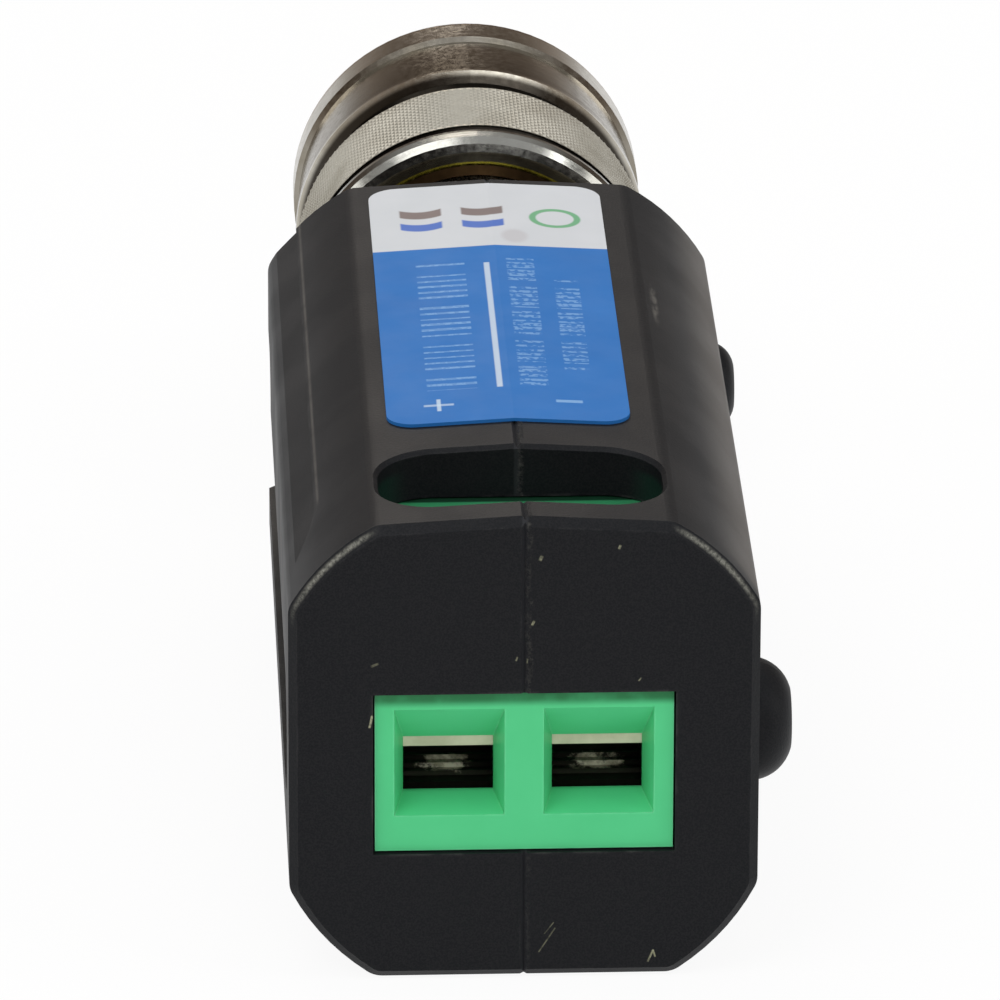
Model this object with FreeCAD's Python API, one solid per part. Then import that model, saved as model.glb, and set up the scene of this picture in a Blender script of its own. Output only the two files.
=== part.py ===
import FreeCAD, Part
import math
import os

from FreeCAD import Vector

# Video balun: a small box that joins a twisted pair to a coaxial socket.
# A two-way screw terminal sits in the front (-Y), a male bayonet plug stands out of the back (+Y).
# The origin is the middle of the housing's flat underside, +Z is up, and lengths are millimetres.

# Driving dimensions of the housing
body_length = 32.5
body_width = 16.0
body_height = 17.0
roof_fall = 0.28
roof_half_width = 5.0
floor_half_width = 5.1
side_low = 3.34
side_high = 13.7
corner_bulge = 0.31
corner_round = 0.9
end_bevel = 0.3
seam_bevel = 0.12
wall = 1.5
front_wall = 1.2

# Driving dimensions of the studs and grooves that join one unit to the next
stud_radius = 2.15
stud_height = 1.4
stud_from_front = 5.4
stud_z = 7.2
lock_stud_radius = 1.65
lock_stud_height = 0.95
lock_stud_from_back = 2.1
lock_stud_z = 9.5
stud_crown = 0.5
stud_shoulder = 0.86
stud_shoulder_rise = 0.62
slide_gap = 0.1
groove_skin = 0.8
ledge_step = 2.49
ledge_foot = 3.65
ledge_depth = 0.16
ledge_start = 2.95
ledge_run_in = 3.05
ledge_bow = 0.32

# Driving dimensions of the screw terminal
terminal_side_gap = 0.22
terminal_sink = 1.97
terminal_nose_height = 5.8
terminal_recess = 0.2
terminal_back_wall = 2.0
nose_gap = 0.06
front_web = 0.4
mouth_width = 3.08
mouth_height = 2.03
mouth_low = 1.65
funnel_depth = 1.3
funnel_side = 0.34
funnel_low = 0.36
funnel_high = 1.56
cage_width = 4.0
cage_depth = 3.4
cage_wall = 0.4
cage_floor = 0.75
cage_roof = 1.6
cage_travel = 1.4
cage_gap = 0.15
grip_ridges = 4
grip_height = 0.12
bar_thickness = 0.8
bar_width = 2.2
bar_head_width = 3.3
bar_head_depth = 0.4
bar_edge = 0.43
pin_width = 1.0
pin_thickness = 0.6
pin_reach = 1.2
pin_from_cage = 0.6
bar_gap = 0.05
screw_radius = 1.2
screw_clearance = 0.05
screw_head_radius = 1.8
screw_head_height = 1.8
screw_ledge = 0.5
driver_slot_width = 0.6
driver_slot_depth = 0.8

# Driving dimensions of the screwdriver slot in the roof
slot_length = 9.7
slot_width = 4.9
slot_corner = 2.0
slot_from_wall = 0.5
slot_bevel = 0.15
slot_skirt = 0.8

# Driving dimensions of the circuit board and what it carries
board_thickness = 1.6
board_top = 4.73
board_gap = 0.4
board_front_gap = 0.1
board_back_gap = 0.3
rib_thickness = 1.2
rib_places = (9.5, 18.5, 27.0)
rib_reach = 0.8
rib_height = 0.9
rib_slack = 0.03
hole_gap = 0.1
core_outer_radius = 4.2
core_inner_radius = 2.1
core_height = 3.2
wire_side = 0.4
wire_gap = 0.02
turns_per_winding = 7
winding_degrees = 132.0
tail_reach = 0.5
chip_length = 2.0
chip_width = 1.25
chip_height = 0.6
chip_cap = 0.4
chip_cap_swell = 0.05
chip_pitch = 2.6
part_gap = 0.4
guard_length = 4.3
guard_width = 2.6
guard_height = 2.1

# Driving dimensions of the bayonet plug
plug_z = 8.85
neck_radius = 4.75
neck_gap = 0.05
flange_radius = 5.35
flange_thickness = 1.2
collar_radius = 5.8
collar_thickness = 0.9
tail_radius = 3.5
tail_length = 2.8
nut_standoff = 8.2
nut_length = 12.65
nut_back_radius = 6.62
knurl_radius = 6.6
band_radius = 6.62
waist_radius = 6.43
groove_radius = 6.15
nut_back_round = 0.6
nut_bore_bevel = 0.12
nut_line = 0.12
line_length = 0.5
knurl_start = 1.3
knurl_length = 4.0
groove_length = 1.9
ridge_length = 0.55
rim_length = 1.7
rim_round = 0.3
round_steps = 3
mating_bore = 4.88
stop_radius = 5.4
running_gap = 0.05
ring_inset = 0.4
ring_thickness = 0.5
ring_inner_radius = 4.95
ring_grip = 0.3
ring_split = 1.4
thrust_thickness = 0.4
wave_strip = 0.25
wave_rise = 0.65
wave_count = 3
steps_per_wave = 16
nut_float = 0.5
stop_thickness = 1.2
gasket_radius = 4.8
gasket_thickness = 0.8
sleeve_radius = 4.05
sleeve_thickness = 0.5
sleeve_length = 8.2
sleeve_lip = 0.12
sleeve_slit_width = 0.4
sleeve_slit_length = 5.2
sleeve_slits = 4
bead_radius = 3.4
bead_back_radius = 1.75
bead_reach = 2.8
bead_bore_gap = 0.02
pin_radius = 0.675
pin_shank_radius = 1.0
pin_tip_inset = 1.9
pin_tip_length = 0.9
pin_solder_reach = 2.4
lead_radius = 0.3
lead_bend = 1.2
lead_sides = 8
tab_width = 2.4
tab_length = 1.6
bayonet_width = 2.3
bayonet_radius = 5.75
bayonet_entry = 2.5
bayonet_advance = 3.3
bayonet_degrees = 52.0
ramp_steps = 6

# Driving dimensions of the label
label_width = 8.4
label_length = 22.75
label_thickness = 0.12
label_corner = 1.0
label_x = -0.17
label_from_back = 1.0

# Values worked out from the driving dimensions
front = -body_length / 2
back = body_length / 2
half_width = body_width / 2
board_bottom = board_top - board_thickness
board_half_width = half_width - stud_height - slide_gap - groove_skin - board_gap
board_front = front + front_wall + board_front_gap
terminal_half_width = board_half_width - terminal_side_gap
pole_pitch = terminal_half_width
slot_y = front + front_wall + slot_from_wall + slot_width / 2
terminal_top = body_height - terminal_sink
terminal_nose = front + terminal_recess
terminal_front = front + front_wall + nose_gap
cage_front = terminal_front + front_web
cage_y = cage_front + bar_head_depth + cage_gap
cage_pocket_depth = bar_head_depth + cage_depth + 2 * cage_gap
screw_y = cage_y + cage_depth / 2
terminal_back = cage_front + cage_pocket_depth + terminal_back_wall
nose_top = board_top + terminal_nose_height
mouth_bottom = board_top + mouth_low
mouth_top = mouth_bottom + mouth_height
bar_bottom = mouth_top - bar_edge
bar_top = bar_bottom + bar_thickness
cage_bottom = mouth_bottom - cage_floor
cage_nut_bottom = bar_top + cage_gap
cage_top = cage_nut_bottom + cage_roof
ledge_bottom = cage_top + cage_travel + cage_gap
screw_head_bottom = ledge_bottom + screw_ledge + bar_gap
pole_places = (-pole_pitch / 2, pole_pitch / 2)
nut_back = back + nut_standoff
rim_y = nut_back + nut_length
ring_y = nut_back + ring_inset
thrust_y = ring_y + ring_thickness + running_gap
wave_y = thrust_y + thrust_thickness + running_gap
stop_y = wave_y + wave_strip + wave_rise + running_gap
stop_front = stop_y + stop_thickness
sleeve_front = stop_front + sleeve_length
bead_front = stop_front + bead_reach
pin_tip = rim_y - pin_tip_inset
flange_y = back - wall - neck_gap - flange_thickness
tail_y = flange_y - tail_length
pin_back = tail_y - pin_solder_reach
lead_y = pin_back - lead_bend - lead_radius
board_back = flange_y - board_back_gap
core_y = terminal_back + part_gap + core_outer_radius + wire_gap + wire_side
resistor_y = core_y + core_outer_radius + wire_gap + wire_side + part_gap
tab_back = board_back - part_gap
capacitor_y = tab_back - chip_width
capacitor_pitch = tab_width + 2 * part_gap + chip_length
guard_y = lead_y + lead_radius + part_gap
far = 60.0


# Small helpers for plain shapes

def box(x0, x1, y0, y1, z0, z1):
    return Part.makeBox(x1 - x0, y1 - y0, z1 - z0, Vector(x0, y0, z0))


def rod_z(x, y, z0, z1, radius):
    return Part.makeCylinder(radius, z1 - z0, Vector(x, y, z0), Vector(0, 0, 1))


def polygon(points):
    return Part.makePolygon(list(points) + [points[0]])


def union(shapes):
    return shapes[0].multiFuse(shapes[1:]) if len(shapes) > 1 else shapes[0]


def turned(profile):
    """Solid turned about the plug's axis from (y, radius) points."""
    face = Part.Face(polygon([Vector(0, y, plug_z + r) for y, r in profile]))
    return face.revolve(Vector(0, 0, plug_z), Vector(0, 1, 0), 360)


def ring(y0, y1, inner, outer):
    return turned([(y0, inner), (y1, inner), (y1, outer), (y0, outer)])


def turned_round(y, radius, size, outward):
    """Profile points of a quarter round from a radius to an end face; outward is -1 on a back face."""
    points = []
    for step in range(round_steps + 1):
        turn = math.pi / 2 * step / round_steps
        points.append((y - outward * size * (1 - math.sin(turn)), radius - size * (1 - math.cos(turn))))
    return points if outward > 0 else points[::-1]


def disc(y0, y1, radius):
    return Part.makeCylinder(radius, y1 - y0, Vector(0, y0, plug_z), Vector(0, 1, 0))


def rounded_plate(x, y0, y1, width, corner, z0, z1):
    plate = box(x - width / 2, x + width / 2, y0, y1, z0, z1)
    upright = [e for e in plate.Edges if abs(e.tangentAt(e.FirstParameter).z) > 0.9]
    return plate.makeFillet(corner, upright)


def mirrored(shape):
    return shape.mirror(Vector(0, 0, 0), Vector(1, 0, 0))


# Housing: an eight-sided tube with bowed corners, split on its upright middle plane

def bowed(start, end):
    """Arc from start to end that bows away from the housing's middle."""
    middle = (start + end) * 0.5
    along = (end - start).normalize()
    outward = Vector(along.z, 0, -along.x)
    return Part.Arc(start, middle + outward * corner_bulge, end).toShape()


def outline():
    """The housing's cross-section, from the floor's middle up each side; every second edge slants."""
    right = [
        Vector(0, 0, 0),
        Vector(floor_half_width, 0, 0),
        Vector(half_width, 0, side_low),
        Vector(half_width, 0, side_high),
        Vector(roof_half_width, 0, body_height - roof_fall),
        Vector(0, 0, body_height),
    ]
    left = [Vector(-p.x, 0, p.z) for p in reversed(right)]
    edges = []
    for corners in (right, left):
        for index in range(len(corners) - 1):
            start = corners[index]
            end = corners[index + 1]
            slanted = index % 2 == 1
            edges.append(bowed(start, end) if slanted else Part.LineSegment(start, end).toShape())
    return Part.Wire(edges)


def outer_body():
    section = Part.Face(outline())
    body = section.extrude(Vector(0, body_length, 0)).translated(Vector(0, front, 0))
    long_edges = [e for e in body.Edges if runs_along_y(e) and abs(e.CenterOfMass.x) > seam_bevel]
    body = body.makeFillet(corner_round, long_edges)
    end_edges = [e for e in body.Edges if abs(abs(e.CenterOfMass.y) - back) < 1e-6]
    return body.makeChamfer(end_bevel, end_edges)


def runs_along_y(edge):
    return abs(edge.tangentAt(edge.FirstParameter).y) > 0.9


def ribs():
    """Ledges on both side walls that hold the circuit board below and above."""
    shapes = []
    inner = board_half_width - rib_reach
    for place in rib_places:
        y = front + place
        under = box(inner, half_width, y, y + rib_thickness, 0, board_bottom - rib_slack)
        shapes.append(under)
        if y > terminal_back:
            over_bottom = board_top + rib_slack
            over = box(inner, half_width, y, y + rib_thickness, over_bottom, over_bottom + rib_height)
            shapes.append(over)
    right = union(shapes)
    return right.fuse(mirrored(right))


def groove_half():
    return stud_radius + slide_gap


def groove_front():
    return front + stud_from_front - groove_half()


def groove_backing():
    """Thicker wall behind the side groove."""
    reach = groove_half() + groove_skin
    inner = half_width - stud_height - slide_gap - groove_skin
    return box(-half_width, -inner, groove_front() - groove_skin, back, stud_z - reach, stud_z + reach)


def cavity():
    inner = Part.Face(outline()).makeOffset2D(-wall)
    depth = body_length - front_wall - wall
    hollow = inner.extrude(Vector(0, depth, 0)).translated(Vector(0, front + front_wall, 0))
    return hollow.cut(union([ribs(), groove_backing(), slot_shaft(slot_skirt)]))


def side_groove():
    """Groove in the left side: open at the back, with a round front end and a wider lock pocket."""
    depth = stud_height + slide_gap
    half = groove_half()
    start = front + stud_from_front
    channel = box(-half_width - 1, -half_width + depth, start, back + 1, stud_z - half, stud_z + half)
    end = Part.makeCylinder(half, depth + 1, Vector(-half_width - 1, start, stud_z), Vector(1, 0, 0))
    lock_depth = lock_stud_height + slide_gap
    lock_half = lock_stud_radius + slide_gap
    lock_y = back - lock_stud_from_back
    pocket = box(-half_width - 1, -half_width + lock_depth, lock_y, back + 1,
                 lock_stud_z - lock_half, lock_stud_z + lock_half)
    pocket_end = Part.makeCylinder(lock_half, lock_depth + 1,
                                   Vector(-half_width - 1, lock_y, lock_stud_z), Vector(1, 0, 0))
    return union([channel, end, pocket, pocket_end])


def slot_shaft(growth):
    """Upright shaft of the screwdriver slot, larger all round by the given growth."""
    y0 = slot_y - slot_width / 2 - growth
    y1 = slot_y + slot_width / 2 + growth
    width = slot_length + 2 * growth
    return rounded_plate(0, y0, y1, width, slot_corner + growth, terminal_top, body_height + 1)


def bevel_slot_rim(body):
    """Small bevel all round the slot's edge on the roof."""
    x_reach = slot_length / 2 + slot_bevel
    y_reach = slot_width / 2 + slot_bevel
    rim = []
    for edge in body.Edges:
        middle = edge.CenterOfMass
        on_roof = middle.z > body_height - roof_fall - slot_bevel
        if on_roof and abs(middle.x) < x_reach and abs(middle.y - slot_y) < y_reach:
            if not runs_along_ridge(edge):
                rim.append(edge)
    return body.makeChamfer(slot_bevel, rim)


def runs_along_ridge(edge):
    return runs_along_y(edge) and abs(edge.CenterOfMass.x) < seam_bevel


def corner_ledge():
    """Shallow flat sunk into the upper left slant, with a step that curves out to a tip near the front."""
    roof_corner = Vector(-roof_half_width, 0, body_height - roof_fall)
    side_corner = Vector(-half_width, 0, side_high)
    slant = side_corner - roof_corner
    width = slant.Length
    down = slant.normalize()
    outward = Vector(down.z, 0, -down.x)

    def on_slant(distance, sunk):
        """Point of the bowed slant at a distance from the roof corner, sunk below its surface."""
        bow = corner_bulge * (1 - (2 * distance / width - 1) ** 2)
        return roof_corner + down * distance + outward * (bow - sunk)

    step = on_slant(ledge_step, ledge_depth)
    foot = on_slant(ledge_foot, 0)
    tip_y = Vector(0, front + ledge_start, 0)
    straight_y = Vector(0, front + ledge_start + ledge_run_in, 0)
    end_y = Vector(0, back + 1, 0)
    tip = foot + tip_y
    inner_front = step + straight_y
    chord = tip - inner_front
    sideways = chord.cross((foot - step).cross(end_y)).normalize()
    middle = inner_front + chord * 0.5 + sideways * ledge_bow
    beyond = foot + (foot - step)
    corners = [tip, beyond + tip_y, beyond + end_y, step + end_y, inner_front]
    edges = [Part.LineSegment(a, b).toShape() for a, b in zip(corners, corners[1:])]
    edges.append(Part.Arc(inner_front, middle, tip).toShape())
    return Part.Face(Part.Wire(edges)).extrude(outward)


def stud(y, z, radius, height):
    """Low round-shouldered stud on the right side."""
    root = half_width - wall / 2
    base = Vector(half_width, 0, radius)
    shoulder = Vector(half_width + stud_shoulder_rise * height, 0, stud_shoulder * radius)
    crown = Vector(half_width + height, 0, stud_crown * radius)
    edges = [
        Part.LineSegment(Vector(root, 0, 0), Vector(root, 0, radius)).toShape(),
        Part.LineSegment(Vector(root, 0, radius), base).toShape(),
        Part.Arc(base, shoulder, crown).toShape(),
        Part.LineSegment(crown, Vector(half_width + height, 0, 0)).toShape(),
        Part.LineSegment(Vector(half_width + height, 0, 0), Vector(root, 0, 0)).toShape(),
    ]
    dome = Part.Face(Part.Wire(edges)).revolve(Vector(0, 0, 0), Vector(1, 0, 0), 360)
    return dome.translated(Vector(0, y, z))


def seam_grooves():
    """Fine V grooves where the two half shells meet, on the roof, floor, front and back."""
    side = seam_bevel * math.sqrt(2)
    cutters = []
    for z in (0, body_height):
        bar = Part.makeBox(side, body_length, side, Vector(-side / 2, front, -side / 2))
        bar.rotate(Vector(0, 0, 0), Vector(0, 1, 0), 45)
        cutters.append(bar.translated(Vector(0, 0, z)))
    for y in (front, back):
        bar = Part.makeBox(side, side, body_height, Vector(-side / 2, -side / 2, 0))
        bar.rotate(Vector(0, 0, 0), Vector(0, 0, 1), 45)
        cutters.append(bar.translated(Vector(0, y, 0)))
    return union(cutters)


def terminal_window():
    half = terminal_half_width + nose_gap
    return box(-half, half, front - 1, front + front_wall, board_top - nose_gap, nose_top + nose_gap)


def terminal_pocket():
    half = terminal_half_width + nose_gap
    return box(-half, half, front + front_wall, terminal_back + nose_gap, board_top, terminal_top + nose_gap)


def shell():
    plug_hole = disc(back - wall - 1, back + 1, neck_radius + neck_gap)
    body = bevel_slot_rim(outer_body().cut(slot_shaft(0)))
    cutters = [cavity(), terminal_pocket(), terminal_window(), plug_hole, seam_grooves()]
    return body.cut(union(cutters))


def housing_left(whole):
    half = whole.common(box(-far, 0, -far, far, -far, far))
    return half.cut(union([side_groove(), corner_ledge()]))


def housing_right(whole):
    half = whole.common(box(0, far, -far, far, -far, far))
    front_stud = stud(front + stud_from_front, stud_z, stud_radius, stud_height)
    back_stud = stud(back - lock_stud_from_back, lock_stud_z, lock_stud_radius, lock_stud_height)
    return union([half, front_stud, back_stud])


def label():
    """Thin sheet bent over the roof's ridge."""
    left = label_x - label_width / 2
    right = label_x + label_width / 2
    slope = roof_fall / roof_half_width
    low = [Vector(x, 0, body_height - slope * abs(x)) for x in (left, 0, right)]
    high = [p + Vector(0, 0, label_thickness) for p in reversed(low)]
    y1 = back - label_from_back
    y0 = y1 - label_length
    sheet = Part.Face(polygon(low + high)).extrude(Vector(0, label_length, 0)).translated(Vector(0, y0, 0))
    return sheet.common(rounded_plate(label_x, y0, y1, label_width, label_corner, 0, far))


# Screw terminal: a moulded block with two rising clamps

def funnel(x):
    """Flared mouth of one wire entry, from the nose back to the square hole."""
    half = mouth_width / 2
    y_out = terminal_nose - 0.01
    y_in = terminal_nose + funnel_depth
    low = mouth_bottom
    high = mouth_top
    outer = [Vector(x - half - funnel_side, y_out, low - funnel_low),
             Vector(x + half + funnel_side, y_out, low - funnel_low),
             Vector(x + half + funnel_side, y_out, high + funnel_high),
             Vector(x - half - funnel_side, y_out, high + funnel_high)]
    inner = [Vector(x - half, y_in, low), Vector(x + half, y_in, low),
             Vector(x + half, y_in, high), Vector(x - half, y_in, high)]
    return Part.makeLoft([polygon(outer), polygon(inner)], True, True)


def pole_hollows(x):
    """Everything hollow in one pole of the terminal block."""
    half_mouth = mouth_width / 2
    half_cage = cage_width / 2 + cage_gap
    cage_back = cage_front + cage_pocket_depth
    mouth = box(x - half_mouth, x + half_mouth, terminal_nose, cage_front + cage_gap, mouth_bottom, mouth_top)
    pocket = box(x - half_cage, x + half_cage, cage_front, cage_back, cage_bottom - cage_gap, ledge_bottom)
    bar_slot = box(x - bar_width / 2 - bar_gap, x + bar_width / 2 + bar_gap, cage_back - cage_gap,
                   pin_y() + pin_thickness + bar_gap, bar_bottom - bar_gap, bar_top + bar_gap)
    pin_slot = box(x - pin_width / 2 - bar_gap, x + pin_width / 2 + bar_gap, pin_y() - bar_gap,
                   pin_y() + pin_thickness + bar_gap, board_top - 1, bar_top)
    shank_hole = rod_z(x, screw_y, ledge_bottom - cage_gap, terminal_top, screw_radius + cage_gap)
    head_well = rod_z(x, screw_y, ledge_bottom + screw_ledge, terminal_top + 1, screw_head_radius + cage_gap)
    return [funnel(x), mouth, pocket, bar_slot, pin_slot, shank_hole, head_well]


def pin_y():
    return cage_front + cage_pocket_depth + pin_from_cage


def terminal_body():
    half = terminal_half_width
    nose = box(-half, half, terminal_nose, terminal_front + front_web, board_top, nose_top)
    block = box(-half, half, terminal_front, terminal_back, board_top, terminal_top)
    hollows = []
    for x in pole_places:
        hollows += pole_hollows(x)
    return nose.fuse(block).cut(union(hollows)).removeSplitter()


def contact_bar(x):
    """Fixed clamp bar with its solder pin."""
    head = box(x - bar_head_width / 2, x + bar_head_width / 2, cage_front, cage_front + bar_head_depth,
               bar_bottom, bar_top)
    strip_back = pin_y() + pin_thickness
    strip = box(x - bar_width / 2, x + bar_width / 2, cage_front, strip_back, bar_bottom, bar_top)
    pin_low = board_bottom - pin_reach
    pin = box(x - pin_width / 2, x + pin_width / 2, pin_y(), strip_back, pin_low, bar_top)
    return union([head, strip, pin]).removeSplitter()


def clamp_cage(x):
    """Rising clamp: a square frame round the bar, with a threaded top and a ridged floor."""
    y0 = cage_y
    y1 = y0 + cage_depth
    half = cage_width / 2
    frame = box(x - half, x + half, y0, y1, cage_bottom, cage_top)
    window = box(x - half + cage_wall, x + half - cage_wall, y0 - 1, y1 + 1, mouth_bottom, cage_nut_bottom)
    thread = rod_z(x, screw_y, cage_nut_bottom - 1, cage_top + 1, screw_radius + screw_clearance)
    ridges = []
    pitch = cage_depth / (grip_ridges + 1)
    for index in range(grip_ridges):
        y = y0 + pitch * (index + 1)
        section = polygon([Vector(0, y - grip_height, 0), Vector(0, y + grip_height, 0),
                           Vector(0, y, grip_height)])
        ridge = Part.Face(section).extrude(Vector(2 * (half - cage_wall), 0, 0))
        ridges.append(ridge.translated(Vector(x - half + cage_wall, 0, mouth_bottom)))
    return frame.cut(window.fuse(thread)).fuse(ridges).removeSplitter()


def terminal_screw(x):
    shank = rod_z(x, screw_y, bar_top + bar_gap, screw_head_bottom, screw_radius)
    head_top = screw_head_bottom + screw_head_height
    head = rod_z(x, screw_y, screw_head_bottom, head_top, screw_head_radius)
    reach = screw_head_radius + 1
    slot = box(x - reach, x + reach, screw_y - driver_slot_width / 2, screw_y + driver_slot_width / 2,
               head_top - driver_slot_depth, head_top + 1)
    rim = [e for e in head.Edges if e.CenterOfMass.z > head_top - 1e-6 and e.Closed]
    return shank.fuse(head.makeChamfer(driver_slot_width / 4, rim)).cut(slot)


# Circuit board and the parts soldered to it

def tail_places():
    """Where the four winding tails pass through the board."""
    places = []
    for side in (-1, 1):
        for end in (-1, 1):
            places.append(turn_place(side, end * winding_degrees / 2))
    return places


def turn_place(side, angle):
    """Outer foot of a turn, and its direction in degrees, for one side of the core."""
    direction = angle if side > 0 else 180 - angle
    radius = core_outer_radius + wire_gap + wire_side / 2
    x = radius * math.cos(math.radians(direction))
    y = core_y + radius * math.sin(math.radians(direction))
    return x, y, direction


def circuit_board():
    board = box(-board_half_width, board_half_width, board_front, board_back, board_bottom, board_top)
    holes = []
    for x in pole_places:
        half = pin_width / 2 + hole_gap
        holes.append(box(x - half, x + half, pin_y() - hole_gap, pin_y() + pin_thickness + hole_gap,
                         board_bottom - 1, board_top + 1))
    for x, y, _ in tail_places():
        half = wire_side / 2 + hole_gap
        holes.append(box(x - half, x + half, y - half, y + half, board_bottom - 1, board_top + 1))
    holes.append(rod_z(0, lead_y, board_bottom - 1, board_top + 1, lead_radius + hole_gap))
    return board.cut(union(holes))


def core_bottom():
    return board_top + wire_side + wire_gap


def ferrite_core():
    z0 = core_bottom()
    core = rod_z(0, core_y, z0, z0 + core_height, core_outer_radius)
    core = core.cut(rod_z(0, core_y, z0 - 1, z0 + core_height + 1, core_inner_radius))
    outer_rims = [e for e in core.Edges if e.Closed and e.Curve.Radius > core_inner_radius]
    return core.makeChamfer(wire_side / 2, outer_rims)


def one_turn(direction):
    """Square wire loop round the core's section, pointing along the given direction."""
    outer = core_outer_radius + wire_gap
    inner = core_inner_radius - wire_gap
    z0 = core_bottom() - wire_gap
    z1 = core_bottom() + core_height + wire_gap
    half = wire_side / 2
    full = box(inner - wire_side, outer + wire_side, -half, half, z0 - wire_side, z1 + wire_side)
    loop = full.cut(box(inner, outer, -1, 1, z0, z1))
    loop.rotate(Vector(0, 0, 0), Vector(0, 0, 1), direction)
    return loop.translated(Vector(0, core_y, 0))


def winding(side):
    """One winding: separate turns over an arc of the core, the two end turns with tails to the board."""
    solids = []
    for index in range(turns_per_winding):
        angle = winding_degrees * (index / (turns_per_winding - 1) - 0.5)
        x, y, direction = turn_place(side, angle)
        turn = one_turn(direction)
        if index in (0, turns_per_winding - 1):
            tail = box(-wire_side / 2, wire_side / 2, -wire_side / 2, wire_side / 2,
                       board_bottom - tail_reach, core_bottom())
            tail.rotate(Vector(0, 0, 0), Vector(0, 0, 1), direction)
            turn = turn.fuse(tail.translated(Vector(x, y, 0)))
        solids.append(turn)
    return Part.makeCompound(solids)


def chip(x, y):
    """Small surface-mount part with a wider metal cap at each end."""
    z0 = board_top
    middle = box(x - chip_length / 2, x + chip_length / 2, y, y + chip_width, z0, z0 + chip_height)
    caps = []
    swell = chip_cap_swell
    for x0 in (x - chip_length / 2 - swell, x + chip_length / 2 - chip_cap + swell):
        caps.append(box(x0, x0 + chip_cap, y - swell, y + chip_width + swell, z0, z0 + chip_height + swell))
    return union([middle] + caps)


def chip_pair(y, pitch):
    return Part.makeCompound([chip(x, y) for x in (-pitch / 2, pitch / 2)])


def surge_guard():
    """Moulded surge-suppressor block with a foot at each end."""
    z0 = board_top + chip_cap / 2
    block = box(-guard_length / 2, guard_length / 2, guard_y, guard_y + guard_width, z0, z0 + guard_height)
    foot_y = guard_y + guard_width / 4
    feet = []
    for x0 in (-guard_length / 2 - chip_cap, guard_length / 2 - chip_cap):
        feet.append(box(x0, x0 + 2 * chip_cap, foot_y, foot_y + guard_width / 2, board_top, z0 + chip_cap))
    top = [e for e in block.Edges if e.CenterOfMass.z > z0 + guard_height - 1e-6]
    return union([block.makeChamfer(chip_cap / 2, top)] + feet)


def signal_lead():
    """Bent wire from the plug's centre pin down through the board."""
    z_turn = plug_z - lead_bend
    start = Vector(0, pin_back, plug_z)
    corner_start = Vector(0, lead_y + lead_bend, plug_z)
    middle = Vector(0, lead_y + lead_bend * (1 - math.sqrt(0.5)), z_turn + lead_bend * math.sqrt(0.5))
    corner_end = Vector(0, lead_y, z_turn)
    end = Vector(0, lead_y, board_bottom - tail_reach)
    path = Part.Wire([Part.LineSegment(start, corner_start).toShape(),
                      Part.Arc(corner_start, middle, corner_end).toShape(),
                      Part.LineSegment(corner_end, end).toShape()])
    ring_points = []
    for index in range(lead_sides):
        turn = math.tau * (index + 0.5) / lead_sides
        ring_points.append(start + Vector(math.cos(turn), 0, math.sin(turn)) * lead_radius)
    return path.makePipeShell([polygon(ring_points)], True, True)


def ground_tab():
    """Tab soldered between the plug's tail and the back edge of the board."""
    block = box(-tab_width / 2, tab_width / 2, tab_back - tab_length, tab_back, board_top, plug_z)
    return block.cut(disc(tail_y - 1, flange_y, tail_radius))


# Bayonet plug

def plug_body():
    """Turned metal body: tail, inner flange, neck through the back wall, collar and stop flange."""
    collar_y = back + neck_gap
    profile = [
        (tail_y, bead_back_radius),
        (tail_y, tail_radius),
        (flange_y, tail_radius),
        (flange_y, flange_radius),
        (flange_y + flange_thickness, flange_radius),
        (flange_y + flange_thickness, neck_radius),
        (collar_y, neck_radius),
        (collar_y, collar_radius),
        (collar_y + collar_thickness, collar_radius),
        (collar_y + collar_thickness, neck_radius),
        (stop_y, neck_radius),
        (stop_y, stop_radius),
        (stop_front, stop_radius),
        (stop_front, sleeve_radius - sleeve_thickness),
        (stop_front - stop_thickness, sleeve_radius - sleeve_thickness),
        (stop_front - stop_thickness, bead_back_radius),
    ]
    return turned(profile)


def outer_contact():
    """Springy sleeve with lengthwise slits and a slight swell at its tip."""
    inner = sleeve_radius - sleeve_thickness
    sleeve = turned([
        (stop_front, inner),
        (stop_front, sleeve_radius),
        (sleeve_front - 4 * sleeve_lip, sleeve_radius),
        (sleeve_front - 2 * sleeve_lip, sleeve_radius + sleeve_lip),
        (sleeve_front, sleeve_radius),
        (sleeve_front, inner),
    ])
    slits = []
    for index in range(sleeve_slits):
        slit = Part.makeBox(sleeve_slit_width, sleeve_slit_length + 1, 2 * sleeve_radius,
                            Vector(-sleeve_slit_width / 2, sleeve_front - sleeve_slit_length, 0))
        slit.rotate(Vector(0, 0, 0), Vector(0, 1, 0), 360 * (index + 0.5) / sleeve_slits)
        slits.append(slit.translated(Vector(0, 0, plug_z)))
    return sleeve.cut(union(slits))


def insulator():
    """White bead that holds the centre pin in the body."""
    shank = pin_shank_radius + bead_bore_gap
    step_y = stop_front - stop_thickness + bead_bore_gap
    return turned([
        (tail_y, shank),
        (tail_y, bead_back_radius - bead_bore_gap),
        (step_y, bead_back_radius - bead_bore_gap),
        (step_y, bead_radius),
        (bead_front, bead_radius),
        (bead_front, shank),
    ])


def centre_pin():
    return turned([
        (pin_back, 0),
        (pin_back, pin_radius),
        (tail_y, pin_radius),
        (tail_y, pin_shank_radius),
        (bead_front, pin_shank_radius),
        (bead_front + (pin_shank_radius - pin_radius), pin_radius),
        (pin_tip - pin_tip_length, pin_radius),
        (pin_tip - pin_tip_length / 4, pin_radius / 2),
        (pin_tip, pin_radius / 4),
        (pin_tip, 0),
    ])


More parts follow.
